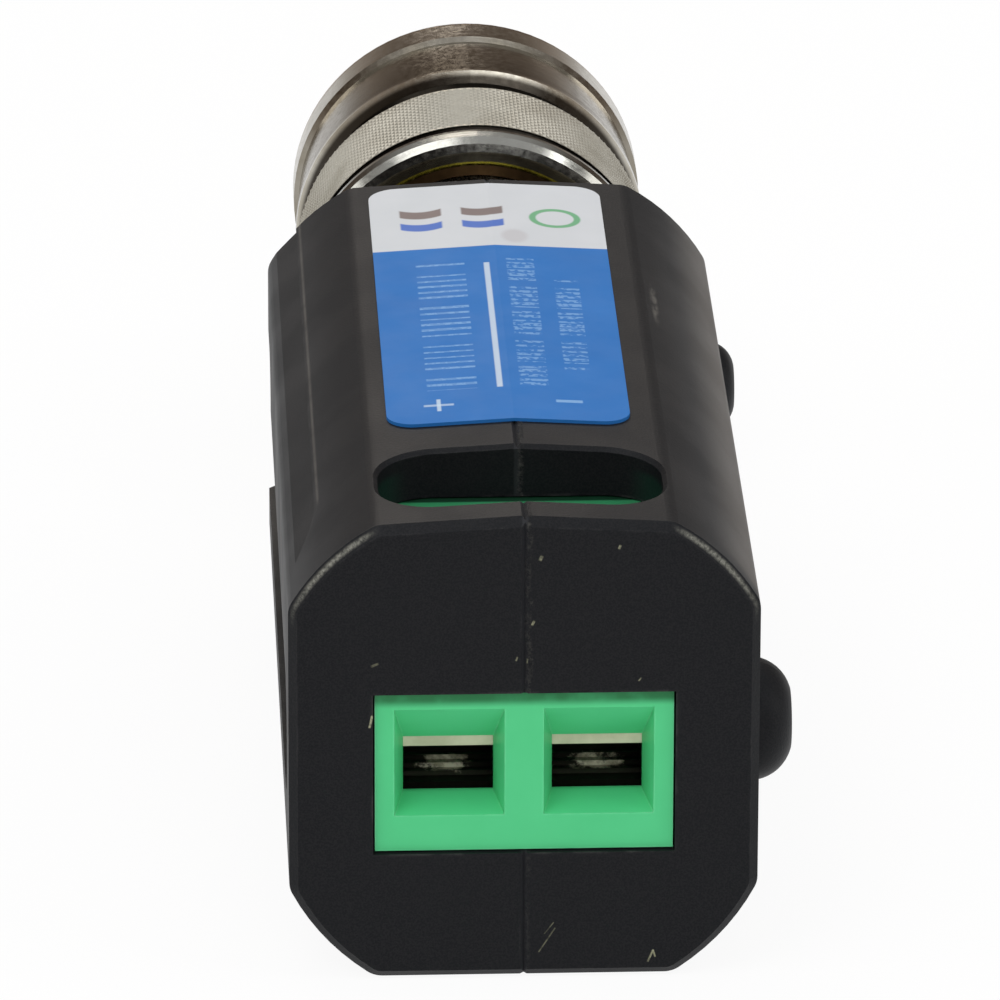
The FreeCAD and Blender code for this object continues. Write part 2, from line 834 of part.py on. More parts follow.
def wave_washer():
    """Spring ring that waves along the plug's axis."""
    inner = neck_radius + 2 * running_gap
    outer = stop_radius - running_gap
    steps = steps_per_wave * wave_count

    def loop(radius):
        points = []
        for index in range(steps):
            turn = 2 * math.pi * index / steps
            lift = wave_rise * (1 + math.sin(wave_count * turn)) / 2
            points.append(Vector(radius * math.cos(turn), wave_y + lift, plug_z + radius * math.sin(turn)))
        return polygon(points)

    strips = Part.makeRuledSurface(loop(inner), loop(outer)).extrude(Vector(0, wave_strip, 0))
    return union(strips.Solids)


def thrust_washer():
    return ring(thrust_y, thrust_y + thrust_thickness, neck_radius + running_gap, stop_radius)


def retaining_ring():
    """Split ring snapped into the nut's inner groove, which keeps the nut on the body."""
    outer = stop_radius + running_gap + ring_grip
    whole = ring(ring_y, ring_y + ring_thickness, ring_inner_radius, outer)
    gap = box(-ring_split / 2, ring_split / 2, ring_y - 1, ring_y + ring_thickness + 1, plug_z - far, plug_z)
    return whole.cut(gap)


def gasket():
    return ring(stop_front, stop_front + gasket_thickness, sleeve_radius, gasket_radius)


def bayonet_slot():
    """Blind slot in the mating bore: a straight entry, then a helical ramp to a round pocket."""
    ramp_y = rim_y - bayonet_entry
    end_y = ramp_y - bayonet_advance
    inner = mating_bore - 1
    outer = bayonet_radius + 1
    entry = box(inner, outer, ramp_y, rim_y + 1, -bayonet_width / 2, bayonet_width / 2)
    entry = entry.translated(Vector(0, 0, plug_z))
    rise = math.atan2(bayonet_advance, bayonet_radius * math.radians(bayonet_degrees))
    half = bayonet_width / 2 / math.cos(rise)
    sections = []
    for step in range(ramp_steps + 1):
        share = step / ramp_steps
        y = ramp_y - bayonet_advance * share
        section = polygon([Vector(inner, y - half, plug_z), Vector(outer, y - half, plug_z),
                           Vector(outer, y + half, plug_z), Vector(inner, y + half, plug_z)])
        section.rotate(Vector(0, 0, plug_z), Vector(0, 1, 0), -bayonet_degrees * share)
        sections.append(section)
    ramp = Part.makeLoft(sections, True, False)
    turn_in = pocket_cutter(ramp_y, 0)
    turn_out = pocket_cutter(end_y, bayonet_degrees)
    floor = disc(end_y - bayonet_width, rim_y + 1, bayonet_radius)
    return union([entry, ramp, turn_in, turn_out]).common(floor)


def pocket_cutter(y, turn):
    inner = mating_bore - 1
    depth = bayonet_radius + 1 - inner
    pocket = Part.makeCylinder(bayonet_width / 2, depth, Vector(inner, y, 0), Vector(1, 0, 0))
    pocket.rotate(Vector(0, 0, 0), Vector(0, 1, 0), -turn)
    return pocket.translated(Vector(0, 0, plug_z))


def coupling_nut():
    """Bayonet nut: knurled grip at the back, groove, ridge, plain waist and rim."""
    bore = stop_radius + running_gap
    knurl_y = nut_back + knurl_start
    knurl_end = knurl_y + knurl_length
    ridge_y = knurl_end + groove_length
    waist_y = ridge_y + ridge_length
    rim_start = rim_y - rim_length
    step = knurl_radius - groove_radius
    shoulder = stop_front + nut_float / 2
    back_round = turned_round(nut_back, nut_back_radius, nut_back_round, -1)
    front_round = turned_round(rim_y, band_radius, rim_round, 1)
    outside = [
        (nut_back + nut_bore_bevel, bore),
        (nut_back, bore + nut_bore_bevel),
        *back_round,
        (knurl_y - line_length, nut_back_radius),
        (knurl_y - line_length, knurl_radius - nut_line),
        (knurl_y, knurl_radius - nut_line),
        (knurl_y, knurl_radius),
        (knurl_end, knurl_radius),
        (knurl_end + step / 3, groove_radius),
        (ridge_y - step / 3, groove_radius),
        (ridge_y, band_radius),
        (waist_y, band_radius),
        (waist_y + nut_line, waist_radius),
        (rim_start - nut_line, waist_radius),
        (rim_start, band_radius),
        *front_round,
        (rim_y, mating_bore),
        (shoulder, mating_bore),
        (shoulder, bore),
    ]
    nut = turned(outside)
    snap = ring(ring_y - running_gap, ring_y + ring_thickness + running_gap,
                bore - ring_grip, bore + ring_grip + running_gap)
    slot = bayonet_slot()
    opposite = slot.copy()
    opposite.rotate(Vector(0, 0, plug_z), Vector(0, 1, 0), 180)
    return nut.cut(union([snap, slot, opposite]))


# Build every node and write one file for each

def nodes():
    whole = shell()
    left_x, right_x = pole_places
    return {
        "housing_left": housing_left(whole),
        "housing_right": housing_right(whole),
        "label": label(),
        "terminal_body": terminal_body(),
        "contact_bar_left": contact_bar(left_x),
        "contact_bar_right": contact_bar(right_x),
        "clamp_cage_left": clamp_cage(left_x),
        "clamp_cage_right": clamp_cage(right_x),
        "terminal_screw_left": terminal_screw(left_x),
        "terminal_screw_right": terminal_screw(right_x),
        "circuit_board": circuit_board(),
        "ferrite_core": ferrite_core(),
        "primary_winding": winding(-1),
        "secondary_winding": winding(1),
        "chip_resistors": chip_pair(resistor_y, chip_pitch),
        "chip_capacitors": chip_pair(capacitor_y, capacitor_pitch),
        "surge_guard": surge_guard(),
        "signal_lead": signal_lead(),
        "ground_tab": ground_tab(),
        "plug_body": plug_body(),
        "outer_contact": outer_contact(),
        "insulator": insulator(),
        "centre_pin": centre_pin(),
        "gasket": gasket(),
        "wave_washer": wave_washer(),
        "thrust_washer": thrust_washer(),
        "retaining_ring": retaining_ring(),
        "coupling_nut": coupling_nut(),
    }


os.makedirs("parts", exist_ok=True)
for name, shape in nodes().items():
    if not shape.isValid():
        print("not valid:", name)
    shape.exportStep("parts/" + name + ".step")
    print(name, len(shape.Solids), round(shape.Volume, 2))
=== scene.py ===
import math
import bpy
from mathutils import Matrix, Vector


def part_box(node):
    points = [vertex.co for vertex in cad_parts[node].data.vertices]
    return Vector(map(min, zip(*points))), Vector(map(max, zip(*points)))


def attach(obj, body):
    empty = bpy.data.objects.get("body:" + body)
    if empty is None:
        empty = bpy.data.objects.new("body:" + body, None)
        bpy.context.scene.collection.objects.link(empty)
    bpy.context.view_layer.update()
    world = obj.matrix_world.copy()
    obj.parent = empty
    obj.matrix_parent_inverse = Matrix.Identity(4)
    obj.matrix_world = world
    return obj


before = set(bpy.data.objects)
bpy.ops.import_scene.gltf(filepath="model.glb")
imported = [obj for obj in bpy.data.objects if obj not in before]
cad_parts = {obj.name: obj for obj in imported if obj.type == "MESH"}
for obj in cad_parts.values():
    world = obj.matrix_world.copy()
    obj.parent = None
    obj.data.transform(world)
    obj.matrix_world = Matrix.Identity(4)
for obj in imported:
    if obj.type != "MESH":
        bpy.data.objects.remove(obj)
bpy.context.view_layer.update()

# Lengths are in metres, in the part's own frame: x to the right, y to the plug, z up.
# Inside a material they are in millimetres, as given by Paint.axes.
MM = 0.001
nut_low, nut_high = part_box("coupling_nut")
NUT_BACK = nut_low[1]
NUT_RIM = nut_high[1]
PLUG_Z = (nut_low[2] + nut_high[2]) / 2
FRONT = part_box("housing_left")[0][1]
CAGE_LOW, CAGE_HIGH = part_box("clamp_cage_right")

# Knurled grip on the nut, measured from the nut's back
KNURL_START = 1.3 * MM
KNURL_LENGTH = 4.0 * MM

# Top of the terminal's nose above the floor, in millimetres
NOSE_TOP = 10.53


# Camera at the photograph's angle

def add_camera():
    """Camera with the place, turn and lens that fit the photograph's edges."""
    elevation = math.radians(22.499)
    heading = math.radians(-2.432)
    roll = math.radians(0.170)
    distance = 355.98 * MM
    aim = Vector((-0.858, -16.25, 17.695)) * MM
    sensor_width = 36.0
    lens_in_sensor_widths = 10.5962
    back = Vector((math.sin(heading) * math.cos(elevation),
                   -math.cos(heading) * math.cos(elevation),
                   math.sin(elevation)))
    level = (-back).cross(Vector((0, 0, 1))).normalized()
    upright = level.cross(-back)
    right = level * math.cos(roll) + upright * math.sin(roll)
    up = upright * math.cos(roll) - level * math.sin(roll)
    data = bpy.data.cameras.new("camera")
    data.sensor_width = sensor_width
    data.lens = lens_in_sensor_widths * sensor_width
    data.clip_start = 0.01
    data.clip_end = 20.0
    camera = bpy.data.objects.new("camera", data)
    bpy.context.scene.collection.objects.link(camera)
    turn = Matrix((right, up, back)).transposed().to_4x4()
    camera.matrix_world = Matrix.Translation(aim + back * distance) @ turn
    bpy.context.scene.camera = camera


# Node graphs for procedural materials

class Paint:
    """One material, built call by call. Values that don't vary go on the shader's own sockets."""

    def __init__(self, name, **values):
        self.material = bpy.data.materials.new(name)
        self.material.use_nodes = True
        self.tree = self.material.node_tree
        self.shader = self.tree.nodes["Principled BSDF"]
        for key, value in values.items():
            self.shader.inputs[key.replace("_", " ")].default_value = value
        self.place = self.node("ShaderNodeTexCoord").outputs["Object"]

    def node(self, kind, inputs=(), **settings):
        made = self.tree.nodes.new(kind)
        for key, value in settings.items():
            setattr(made, key, value)
        for key, value in dict(inputs).items():
            self.feed(made.inputs[key], value)
        return made

    def feed(self, socket, value):
        """Links a value that varies, or writes one that doesn't."""
        if isinstance(value, bpy.types.NodeSocket):
            self.tree.links.new(value, socket)
        else:
            socket.default_value = value

    def set(self, name, value):
        self.feed(self.shader.inputs[name], value)

    def math(self, operation, *values, clamp=False):
        made = self.node("ShaderNodeMath", enumerate(values), operation=operation, use_clamp=clamp)
        return made.outputs[0]

    def product(self, first, *others):
        for other in others:
            first = self.math("MULTIPLY", first, other)
        return first

    def axes(self, names="xyz"):
        """Places along the named axes, in millimetres."""
        parts = self.node("ShaderNodeSeparateXYZ", {"Vector": self.place}).outputs
        return [self.math("MULTIPLY", parts[name.upper()], 1 / MM) for name in names]

    def stretched(self, scale):
        """Places scaled by a different amount along each axis."""
        return self.node("ShaderNodeMapping", {"Vector": self.place, "Scale": scale}).outputs["Vector"]

    def noise(self, scale, detail=3.0, rough=0.5, place=None):
        inputs = {"Vector": place or self.place, "Scale": scale, "Detail": detail, "Roughness": rough}
        return self.node("ShaderNodeTexNoise", inputs).outputs["Fac"]

    def fade(self, value, low, high, start=0.0, end=1.0):
        """Smooth step from start to end while the value goes from low to high."""
        inputs = {"Value": value, "From Min": low, "From Max": high, "To Min": start, "To Max": end}
        return self.node("ShaderNodeMapRange", inputs, interpolation_type="SMOOTHSTEP").outputs["Result"]

    def mix(self, factor, first, second):
        made = self.node("ShaderNodeMix", {}, data_type="RGBA")
        self.feed(made.inputs[0], factor)
        self.feed(made.inputs[6], first)
        self.feed(made.inputs[7], second)
        return made.outputs[2]

    def inside(self, value, low, high, soft):
        """One between low and high, nought outside, with soft ends."""
        rise = self.fade(value, low - soft, low + soft)
        fall = self.fade(value, high - soft, high + soft, 1.0, 0.0)
        return self.math("MULTIPLY", rise, fall)

    def reach(self, u, v, centre, radii):
        """Distance from a centre in a plane, as a share of an ellipse's radii."""
        across = self.math("DIVIDE", self.math("SUBTRACT", u, centre[0]), radii[0])
        along = self.math("DIVIDE", self.math("SUBTRACT", v, centre[1]), radii[1])
        squares = [self.math("MULTIPLY", part, part) for part in (across, along)]
        return self.math("SQRT", self.math("ADD", *squares))

    def stroke(self, u, v, start, end, width):
        """A thin straight mark between two points of a plane."""
        length = math.dist(start, end)
        step_u = (end[0] - start[0]) / length
        step_v = (end[1] - start[1]) / length
        from_u = self.math("SUBTRACT", u, start[0])
        from_v = self.math("SUBTRACT", v, start[1])
        along = self.math("ADD", self.product(from_u, step_u), self.product(from_v, step_v))
        across = self.math("SUBTRACT", self.product(from_u, step_v), self.product(from_v, step_u))
        body = self.fade(self.math("ABSOLUTE", across), width * 0.3, width * 0.6, 1.0, 0.0)
        return self.math("MULTIPLY", body, self.inside(along, 0, length, width * 0.4))

    def specks(self, scale, size, share):
        """Small round spots in a share of the cells of a random pattern."""
        made = self.node("ShaderNodeTexVoronoi", {"Vector": self.place, "Scale": scale})
        spot = self.fade(made.outputs["Distance"], size * 0.6, size, 1.0, 0.0)
        pick = self.node("ShaderNodeSeparateColor", {"Color": made.outputs["Color"]}).outputs[0]
        return self.math("MULTIPLY", spot, self.math("LESS_THAN", pick, share))

    def edges(self, radius, low=0.02, high=0.25):
        """Where the surface turns within a small radius."""
        soft = self.node("ShaderNodeBevel", {"Radius": radius}, samples=6).outputs["Normal"]
        flat = self.node("ShaderNodeNewGeometry").outputs["Normal"]
        same = self.node("ShaderNodeVectorMath", {0: soft, 1: flat}, operation="DOT_PRODUCT")
        return self.fade(self.math("SUBTRACT", 1.0, same.outputs["Value"]), low, high)

    def tint(self, share, colour):
        """Lays a second tone over the colour set so far."""
        first = self.shader.inputs["Base Color"].links[0].from_socket
        self.set("Base Color", self.mix(share, first, colour))

    def bump(self, height, distance, strength=1.0):
        """Adds relief to whatever relief the shader has so far."""
        inputs = {"Height": height, "Distance": distance, "Strength": strength}
        last = self.shader.inputs["Normal"]
        if last.is_linked:
            inputs["Normal"] = last.links[0].from_socket
        self.set("Normal", self.node("ShaderNodeBump", inputs).outputs["Normal"])


def rgb(red, green, blue):
    """Linear colour from display values between 0 and 255."""
    def linear(value):
        share = value / 255
        if share <= 0.04045:
            return share / 12.92
        return ((share + 0.055) / 1.055) ** 2.4
    return (linear(red), linear(green), linear(blue), 1.0)


# Plastics and print

# Marks on the black front face, each with its ends as x and z, its width and its strength
FIBRES = (
    ((4.25, 0.52), (4.43, 0.96), 0.07, 0.75), ((4.43, 0.96), (4.50, 0.70), 0.06, 0.6),
    ((-5.26, 9.40), (-5.17, 9.84), 0.08, 0.9), ((0.51, 0.94), (1.07, 1.84), 0.05, 0.3),
    ((0.70, 1.62), (1.02, 2.05), 0.04, 0.3), ((-5.20, 11.66), (-4.96, 11.76), 0.09, 0.3),
    ((3.86, 11.00), (3.95, 11.12), 0.05, 0.5), ((3.16, 15.86), (3.21, 15.98), 0.09, 0.7),
    ((0.50, 15.48), (0.56, 15.62), 0.12, 0.75), ((0.24, 13.10), (0.31, 13.25), 0.09, 0.6),
    ((-0.30, 11.80), (-0.25, 11.94), 0.06, 0.5), ((0.06, 11.68), (0.09, 11.86), 0.06, 0.7),
)


def moulded_black():
    """Half shells: black moulding with a fine grain, worn corners, a rough seam, fibres and dust, with
    painted highlights and sheen on the bevels and slants and a painted green reflection in the slot.
    """
    p = Paint("moulded_black", Specular_IOR_Level=0.13)
    x, y, z = p.axes()
    side = p.math("ABSOLUTE", x)
    front = FRONT / MM
    cloud = p.noise(260.0, 4.0)
    rub = p.noise(900.0, 6.0, 0.7)

    # Near blacks in soft clouds under a grain of paler flecks
    tone = p.mix(cloud, rgb(13, 15, 19), rgb(20, 22, 25))
    fleck = p.fade(p.noise(15000.0, 2.0, 0.6), 0.38, 0.62, 0.0, 0.6)
    tone = p.mix(fleck, tone, rgb(31, 31, 33))

    # Lightly rubbed edges, and a streaked pale line on the bevel of the front's upper corners, partly wear
    # and partly a painted highlight
    slight = p.product(p.edges(0.22 * MM), p.fade(rub, 0.45, 0.65), 0.22)
    tone = p.mix(slight, tone, rgb(112, 112, 110))
    on_bevel = p.inside(y, front + 0.10, front + 0.21, 0.06)
    corner = p.product(p.fade(side, 4.9, 5.7), p.fade(z, 12.9, 15.1), on_bevel)
    fine = p.noise(1.0, 5.0, 0.75, p.stretched((8500.0, 2600.0, 8500.0)))
    corner_wear_and_highlight = p.product(corner, p.fade(fine, 0.32, 0.66, 0.15, 1.0), 0.8)
    tone = p.mix(corner_wear_and_highlight, tone, rgb(150, 150, 140))

    # Seam: a paler lip on both sides, and scuffs that waver along its right side
    waver = p.product(p.math("SUBTRACT", p.noise(700.0, 3.0), 0.5), 0.3)
    beside = p.inside(p.math("ADD", x, waver), 0.04, 0.22, 0.05)
    patches = p.fade(p.noise(5200.0, 5.0, 0.75), 0.44, 0.66)
    scuff = p.product(beside, patches, p.fade(z, 2.0, 12.0, 0.3, 1.0))
    lip = p.product(p.fade(side, 0.06, 0.14, 1.0, 0.0), 0.7)
    tone = p.mix(lip, tone, rgb(44, 45, 48))
    tone = p.mix(p.product(scuff, 0.24), tone, rgb(120, 119, 114))

    # Left slant: a painted highlight along the ledge's edge
    upper = p.fade(z, 12.4, 12.8)
    ledge_highlight = p.product(p.inside(x, -6.88, -6.82, 0.05), p.inside(y, front + 5.8, front + 35.0, 0.5), upper)
    tone = p.mix(p.product(ledge_highlight, p.fade(rub, 0.3, 0.6, 0.18, 0.42)), tone, rgb(122, 118, 112))

    # Right slant: a painted sheen that lightens it towards its outer edge, with a chafed patch near the roof
    dull = p.product(p.fade(x, 6.3, 8.1), p.fade(z, 12.0, 13.6), p.fade(y, front + 0.3, front + 1.5))
    tone = p.mix(p.product(dull, 0.5), tone, rgb(112, 106, 100))
    chafed = p.fade(p.reach(x, y, (5.50, 4.9), (0.16, 2.4)), 0.4, 1.1, 1.0, 0.0)
    haze = p.fade(p.noise(1.0, 5.0, 0.7, p.stretched((2600.0, 900.0, 2600.0))), 0.40, 0.70)
    bright_patch = p.product(chafed, haze, p.fade(z, 15.0, 15.6))
    tone = p.mix(p.product(bright_patch, 0.3), tone, rgb(150, 146, 138))

    # Ends of the driver slot: a painted green reflection of the terminal below
    slot_ends = p.product(p.fade(side, 3.7, 4.6), p.fade(side, 5.2, 5.4, 1.0, 0.0))
    slot_depth = p.product(p.fade(z, 16.0, 16.3, 1.0, 0.0), p.fade(z, 12.9, 13.1))
    slot_green_reflection = p.product(slot_ends, slot_depth, p.inside(y, front + 0.7, front + 9.0, 0.1))
    tone = p.mix(p.product(slot_green_reflection, 0.7), tone, rgb(18, 44, 36))

    # Fibres on the front face, and dust all over
    on_front = p.fade(y, front + 0.02, front + 0.08, 1.0, 0.0)
    grit = p.fade(p.noise(3200.0, 4.0, 0.7), 0.36, 0.60, 0.25, 0.95)
    for start, end, width, strength in FIBRES:
        fibre = p.product(p.stroke(x, z, start, end, width), on_front, grit, strength)
        tone = p.mix(fibre, tone, rgb(176, 176, 146))
    dust = p.specks(700.0, 0.07, 0.035)
    tone = p.mix(p.product(dust, 0.4), tone, rgb(150, 150, 144))
    p.set("Base Color", tone)

    gloss = p.math("ADD", p.fade(cloud, 0.3, 0.7, 0.46, 0.54), p.product(corner_wear_and_highlight, 0.1))
    p.set("Roughness", p.math("ADD", gloss, p.product(scuff, 0.3), clamp=True))
    p.bump(p.noise(11000.0, 2.0), 0.009 * MM, 0.9)
    p.bump(p.noise(160.0, 1.0), 0.05 * MM, 0.3)
    p.bump(scuff, 0.03 * MM)
    return p.material


def printed_label():
    """Film with a white band, a blue field and plain strokes where print would be."""
    p = Paint("printed_label", Specular_IOR_Level=0.10)
    x, y = p.axes("xy")
    paper = p.mix(p.noise(500.0, 3.0), rgb(192, 196, 200), rgb(202, 205, 209))
    blue = p.mix(p.noise(420.0, 4.0), rgb(34, 102, 172), rgb(44, 113, 184))
    tone = p.mix(p.fade(y, 8.98, 9.06), blue, paper)
    pale = rgb(138, 178, 218)
    sign = rgb(190, 208, 224)
    edge = 0.03

    # Rows of strokes of uneven weight, in groups: x limits, y limits, pitch, ink share,
    # strength, and wholeness, which is low where the strokes are broken
    rows = (
        ((-2.89, -1.15), (-4.55, 7.65), 0.52, 0.36, 0.6, 0.6),
        ((0.34, 1.33), (-4.45, 7.75), 0.40, 0.70, 0.5, 0.1),
        ((1.96, 2.84), (-2.85, 5.75), 0.40, 0.70, 0.5, 0.1),
    )
    strokes_in_group = 6.5
    gap_between_groups = 0.14
    broken = p.fade(p.noise(5200.0, 1.0), 0.40, 0.56)
    for (x0, x1), (y0, y1), pitch, ink_share, strength, wholeness in rows:
        along = p.math("DIVIDE", y, pitch)
        order = p.node("ShaderNodeTexWhiteNoise", {"W": p.math("FLOOR", along)}, noise_dimensions="1D")
        half = ink_share * 0.6
        weight = p.math("MULTIPLY_ADD", order.outputs["Value"], half, half)
        ink = p.fade(p.math("SUBTRACT", p.math("FRACT", along), weight), -0.08, 0.08, 1.0, 0.0)
        group_place = p.math("FRACT", p.math("DIVIDE", y, pitch * strokes_in_group))
        group = p.math("GREATER_THAN", group_place, gap_between_groups)
        area = p.math("MULTIPLY", p.inside(x, x0, x1, edge), p.inside(y, y0, y1, edge))
        whole = p.math("MAXIMUM", broken, wholeness)
        tone = p.mix(p.product(ink, group, area, whole, strength), tone, pale)

    # Long rule, the two arms of the plus sign, and the minus sign
    bars = (
        ((-0.47, -0.27), (-4.55, 7.35), rgb(186, 200, 216), 0.9),
        ((-3.06, -2.02), (-6.00, -5.82), sign, 0.6),
        ((-2.61, -2.47), (-6.45, -5.37), sign, 0.8),
        ((1.52, 2.44), (-5.90, -5.66), pale, 0.7),
    )
    for (x0, x1), (y0, y1), colour, strength in bars:
        area = p.math("MULTIPLY", p.inside(x, x0, x1, edge), p.inside(y, y0, y1, edge))
        tone = p.mix(p.math("MULTIPLY", area, strength), tone, colour)

    # Two pairs of curved bars, a ring and a smudge on the white band
    arch_width = 1.5
    for left in (-3.30, -1.08):
        sideways = p.math("SUBTRACT", x, left + arch_width / 2)
        arch = p.math("SUBTRACT", y, p.product(sideways, sideways, 0.45))
        span = p.inside(x, left, left + arch_width, 0.05)
        upper = p.product(span, p.inside(arch, 12.02, 12.72, 0.06), 0.85)
        lower = p.product(span, p.inside(arch, 10.80, 11.45, 0.06), 0.92)
        tone = p.mix(upper, tone, rgb(104, 84, 78))
        tone = p.mix(lower, tone, rgb(56, 98, 182))
    ring = p.inside(p.reach(x, y, (2.28, 11.9), (0.93, 0.95)), 0.74, 1.0, 0.05)
    tone = p.mix(p.product(ring, 0.82), tone, rgb(72, 156, 98))
    spot = p.fade(p.reach(x, y, (0.75, 10.0), (0.55, 0.75)), 0.6, 1.1, 1.0, 0.0)
    tone = p.mix(p.product(spot, 0.3), tone, rgb(160, 148, 150))
    p.set("Base Color", tone)
    p.set("Roughness", p.fade(p.noise(700.0, 4.0), 0.3, 0.7, 0.46, 0.56))
    p.bump(p.noise(300.0, 2.0), 0.03 * MM, 0.3)
    return p.material


def green_moulding():
    """Terminal block: even green, paler on edges that are partly worn and partly given a painted highlight,
    with painted shade under the window's top and in the slot.
    """
    p = Paint("green_moulding", Specular_IOR_Level=0.3)
    y, z = p.axes("yz")
    front = FRONT / MM
    cloud = p.noise(380.0, 4.0)
    tone = p.mix(cloud, rgb(72, 197, 128), rgb(86, 208, 141))
    # Paler edges, partly wear and partly a painted highlight
    worn_and_highlit_edges = p.product(p.edges(0.14 * MM), p.fade(p.noise(1500.0, 5.0), 0.35, 0.65, 0.3, 1.0), 0.5)
    tone = p.mix(worn_and_highlit_edges, tone, rgb(150, 228, 184))
    # Painted shade on the nose just under the window's top
    nose = p.fade(y, front + 0.9, front + 1.3, 1.0, 0.0)
    under_top = p.fade(z, NOSE_TOP - 0.55, NOSE_TOP - 0.2)
    window_top_shade = p.product(nose, under_top, p.fade(p.noise(900.0, 3.0), 0.2, 0.6, 0.55, 0.85))
    tone = p.mix(window_top_shade, tone, rgb(12, 96, 46))
    roof = p.fade(z, NOSE_TOP + 2.0, NOSE_TOP + 2.2)
    shaded = p.product(roof, p.fade(y, front + 6.20, front + 6.36, 0.62, 0.97))
    tone = p.mix(shaded, tone, rgb(8, 34, 22))
    dust = p.specks(1100.0, 0.12, 0.05)
    tone = p.mix(p.product(dust, 0.4), tone, rgb(40, 120, 76))
    p.set("Base Color", tone)
    p.set("Roughness", p.fade(cloud, 0.3, 0.7, 0.40, 0.50))
    p.bump(p.noise(7000.0, 2.0), 0.004 * MM, 0.3)
    return p.material


# Metals

def metal(name, bright, dull, smooth, rough, lines=None, grain=1600.0, depth=0.004, metallic=1.0):
    """Plated or drawn metal: two tones in patches, uneven gloss and fine tool lines."""
    p = Paint(name, Metallic=metallic)
    patch = p.noise(grain * 0.3, 5.0, 0.6)
    p.set("Base Color", p.mix(p.fade(patch, 0.35, 0.7), bright, dull))
    fine = p.noise(grain * 3, 4.0, 0.6)
    p.set("Roughness", p.fade(fine, 0.3, 0.7, smooth, rough))
    if lines:
        p.bump(p.noise(1.0, 2.0, 0.5, p.stretched(lines)), depth * MM, 0.8)
    p.bump(fine, 0.002 * MM, 0.3)
    return p


# Fine lines left round the plug by turning
TURNED_LINES = (260.0, 9000.0, 260.0)


def nut_nickel():
    """Bright plating of the nut, with painted shade in its groove, a painted brown reflection at the rim, and
    yellow at the rear bore's edge.
    """
    p = metal("nut_nickel", rgb(204, 200, 190), rgb(182, 176, 162), 0.14, 0.24, TURNED_LINES, depth=0.003)
    x, y, z = p.axes()
    back = NUT_BACK / MM
    rim = NUT_RIM / MM
    knurl = back + KNURL_START / MM
    from_axis = p.reach(x, z, (0.0, PLUG_Z / MM), (1.0, 1.0))
    outside = p.fade(from_axis, 5.9, 6.0)
    patch = p.fade(p.noise(300.0, 4.0), 0.3, 0.6, 0.55, 0.95)

    # Brown at the rim: a painted reflection of the warm surroundings
    rim_reflection_tint = p.product(p.fade(y, rim - 0.55, rim - 0.2), patch, p.fade(from_axis, 6.1, 6.4))
    p.tint(rim_reflection_tint, rgb(150, 104, 62))
    # Painted shade in a narrow line at the knurl's start and in the groove
    line = p.inside(y, knurl - 0.52, knurl + 0.02, 0.03)
    groove = p.inside(y, back + 5.28, back + 7.16, 0.04)
    p.tint(p.product(p.math("MAXIMUM", line, groove), outside, 0.94), rgb(36, 30, 24))
    # Darker brown over the waist, fading towards the rim
    waist_darkening = p.product(p.fade(y, back + 8.0, back + 12.2, 0.92, 0.45), p.fade(patch, 0.55, 0.95, 0.85, 1.0))
    p.tint(p.product(p.fade(y, back + 7.1, back + 7.5), outside, waist_darkening), rgb(84, 74, 58))

    collar = p.product(p.fade(y, back + 0.78, back + 0.84, 1.0, 0.0), outside)
    p.tint(p.product(collar, 0.75), rgb(118, 120, 118))
    rear = p.product(p.fade(y, back + 0.02, back + 0.25, 1.0, 0.0), p.fade(from_axis, 5.90, 6.05, 1.0, 0.0))
    p.tint(p.product(rear, 0.85), rgb(66, 68, 66))
    bore = p.fade(from_axis, 5.61, 5.66, 1.0, 0.0)
    p.tint(p.product(p.inside(y, back + 0.11, back + 0.60, 0.03), bore, 0.9), rgb(66, 52, 38))
    p.tint(p.product(p.fade(y, back + 0.08, back + 0.12, 1.0, 0.0), bore, 0.85), rgb(206, 198, 70))
    return p.material


def plug_nickel():
    """Plating of the plug's fixed parts, a little duller than the nut's."""
    p = metal("plug_nickel", rgb(196, 190, 174), rgb(176, 168, 150), 0.18, 0.30, TURNED_LINES, depth=0.003)
    return p.material


def clamp_steel():
    """Dark clamp cage with a painted highlight in the middle of its floor."""
    p = Paint("clamp_steel", Metallic=0.85)
    x, y, z = p.axes()
    floor = CAGE_LOW[2] / MM
    middle_x = (CAGE_LOW[0] + CAGE_HIGH[0]) / 2 / MM
    middle_y = (CAGE_LOW[1] + CAGE_HIGH[1]) / 2 / MM - 0.15
    # A painted highlight in the middle of the cage's floor, with rougher relief there
    spread = p.reach(p.math("ABSOLUTE", x), y, (middle_x, middle_y), (0.95, 0.8))
    ragged = p.math("ADD", spread, p.math("MULTIPLY_ADD", p.noise(1900.0, 5.0, 0.75), 2.6, -1.3))
    low = p.fade(z, floor + 1.0, floor + 1.2, 1.0, 0.0)
    bright_patch = p.product(p.fade(ragged, 0.55, 1.0, 1.0, 0.0), low)
    speckle = p.noise(2600.0, 5.0, 0.65)
    dark = p.mix(speckle, rgb(34, 34, 30), rgb(62, 60, 52))
    bright = p.mix(p.fade(speckle, 0.35, 0.65), rgb(176, 170, 146), rgb(240, 236, 216))
    p.set("Base Color", p.mix(bright_patch, dark, bright))
    p.set("Roughness", p.fade(bright_patch, 0.0, 1.0, 0.34, 0.62))
    p.bump(p.noise(1.0, 2.0, 0.5, p.stretched((9000.0, 500.0, 900.0))), 0.004 * MM, 0.8)
    p.bump(p.product(speckle, bright_patch), 0.06 * MM, 0.8)
    return p.material


# Electronics and other inner pieces

